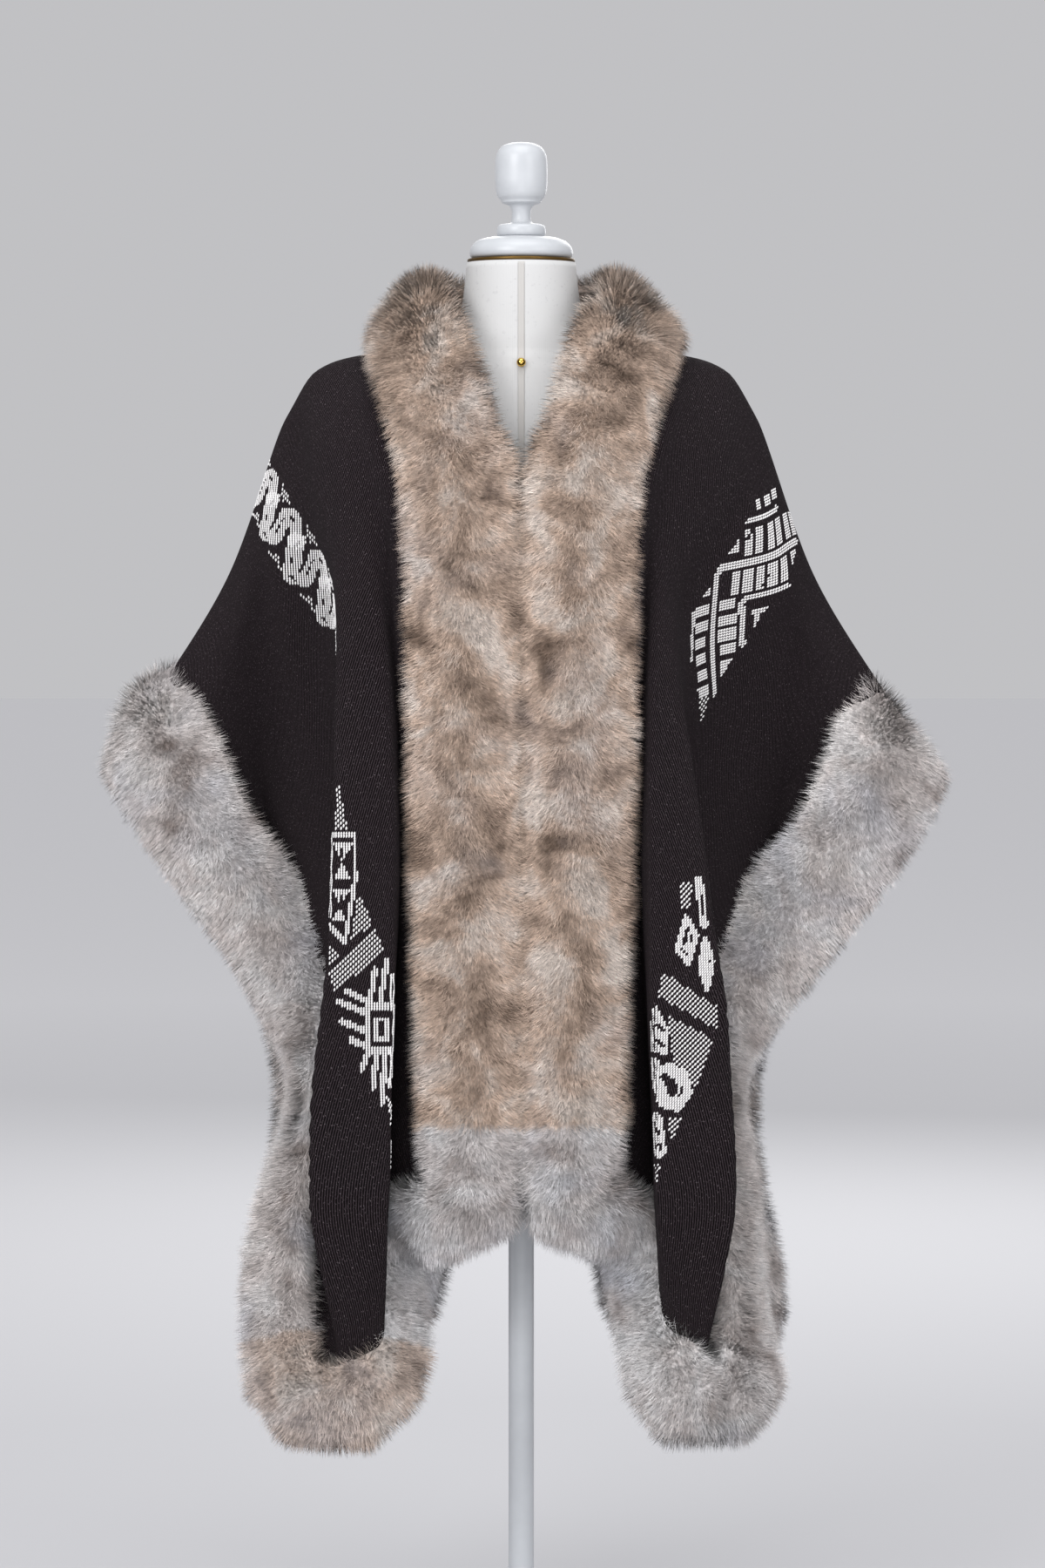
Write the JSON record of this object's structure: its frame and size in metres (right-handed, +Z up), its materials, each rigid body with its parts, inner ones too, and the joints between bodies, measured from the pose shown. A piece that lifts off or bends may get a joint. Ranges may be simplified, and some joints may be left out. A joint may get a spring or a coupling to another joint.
{
  "type": "fur-trimmed woven cape on a limbless dress form",
  "caption": "Open-front woven cape with a wide fur trim all round, patterned bands and pointed hanging ends, draped on a limbless dress form with a pole and a round base.",
  "frame": {"origin": "centre of the underside of the round base, on the floor", "axes": "+Z up along the pole, -Y towards the open front of the cape, +X towards the form's own left hand side as seen from the front on the right"},
  "size_m": [0.864, 0.38, 1.5673],
  "materials": {
    "woven_cloth": "dark brown-black woven wool twill with off-white patterned bands",
    "alpaca_fur_brown": "dense taupe fur, about 22 mm pile",
    "alpaca_fur_grey": "dense light grey fur, about 22 mm pile",
    "form_cover": "off-white stretched jersey",
    "form_tape": "narrow grey woven tape",
    "white_paint": "satin white enamel",
    "brass": "aged, satin"
  },
  "bodies": {
    "root": {"cloth_front_left": "woven_cloth", "cloth_back_left": "woven_cloth", "fur_front_upper_left": "alpaca_fur_brown", "fur_front_lower_left": "alpaca_fur_grey", "fur_hem_front_left": "alpaca_fur_grey", "fur_corner_front_left": "alpaca_fur_brown", "fur_side_front_left": "alpaca_fur_grey", "fur_side_back_left": "alpaca_fur_grey", "fur_corner_back_left": "alpaca_fur_grey", "fur_hem_back_left": "alpaca_fur_grey", "cloth_front_right": "woven_cloth", "cloth_back_right": "woven_cloth", "fur_front_upper_right": "alpaca_fur_brown", "fur_front_lower_right": "alpaca_fur_grey", "fur_hem_front_right": "alpaca_fur_grey", "fur_corner_front_right": "alpaca_fur_brown", "fur_side_front_right": "alpaca_fur_grey", "fur_side_back_right": "alpaca_fur_grey", "fur_corner_back_right": "alpaca_fur_grey", "fur_hem_back_right": "alpaca_fur_grey", "fur_collar_back": "alpaca_fur_brown", "form_torso": "form_cover", "form_tape": "form_tape", "form_pin": "brass", "form_neck_band": "brass", "form_neck_cap": "white_paint", "form_finial": "white_paint", "form_pole": "white_paint", "form_base": "white_paint"}
  },
  "joints": []
}
